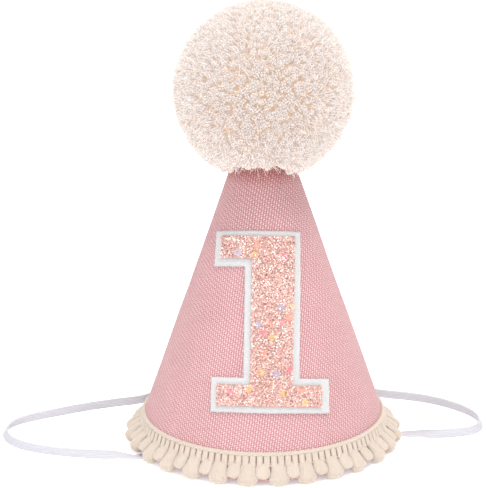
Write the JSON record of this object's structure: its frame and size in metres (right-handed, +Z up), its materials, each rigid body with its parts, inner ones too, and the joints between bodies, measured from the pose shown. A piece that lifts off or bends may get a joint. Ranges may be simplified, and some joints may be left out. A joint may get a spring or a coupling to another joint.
{
  "type": "party hat",
  "caption": "Small cone party hat in pink linen with a felt and glitter numeral, a yarn pom-pom on its tip, a pom-pom trim round its hem and an elastic chin strap.",
  "frame": {"origin": "on the cone's axis, on the surface that the hat stands on", "axes": "+Z up the cone's axis to the pom-pom, -Y towards the numeral's side, +X to the wearer's left"},
  "size_m": [0.1977, 0.1177, 0.18],
  "materials": {
    "linen": "plain-weave pink linen",
    "card": "plain card",
    "lining": "plain-weave cotton",
    "felt": "pressed white felt",
    "glitter": "glitter sheet in peach pink",
    "flake_gold": "metallic flake",
    "flake_coral": "metallic flake",
    "flake_pink": "metallic flake",
    "flake_lilac": "metallic flake",
    "yarn": "ivory acrylic yarn",
    "trim": "cream cotton yarn",
    "elastic": "ribbed white elastic",
    "thread": "white sewing thread"
  },
  "bodies": {
    "hat": {"fabric_cover": "linen", "stiffener_cone": "card", "lining_cone": "lining", "number_backing": "felt", "number_face": "glitter", "confetti_gold": "flake_gold", "confetti_coral": "flake_coral", "confetti_pink": "flake_pink", "confetti_lilac": "flake_lilac", "tie_washer": "felt", "trim_top_cord": "trim", "trim_bars": "trim", "trim_cross_thread": "trim", "trim_large_pompoms": "trim", "trim_small_tufts": "trim", "elastic_strap": "elastic", "strap_tab_left": "felt", "strap_tab_right": "felt", "strap_tack_left": "thread", "strap_tack_right": "thread"},
    "knot": {"tie_knot": "yarn", "tie_tails": "yarn"},
    "pompom": {"pompom_yarn": "yarn", "pompom_binding": "yarn", "tie_cord": "yarn"}
  },
  "joints": [
    {"name": "pompom_nod", "type": "hinge", "parent": "hat", "child": "knot", "pos_m": [0, 0, 0.1205], "axis": [1, 0, 0], "range_deg": [-8, 8], "stiffness_Nm_per_rad": 0.06},
    {"name": "pompom_sway", "type": "hinge", "parent": "knot", "child": "pompom", "pos_m": [0, 0, 0.1205], "axis": [0, 1, 0], "range_deg": [-8, 8], "stiffness_Nm_per_rad": 0.06}
  ]
}
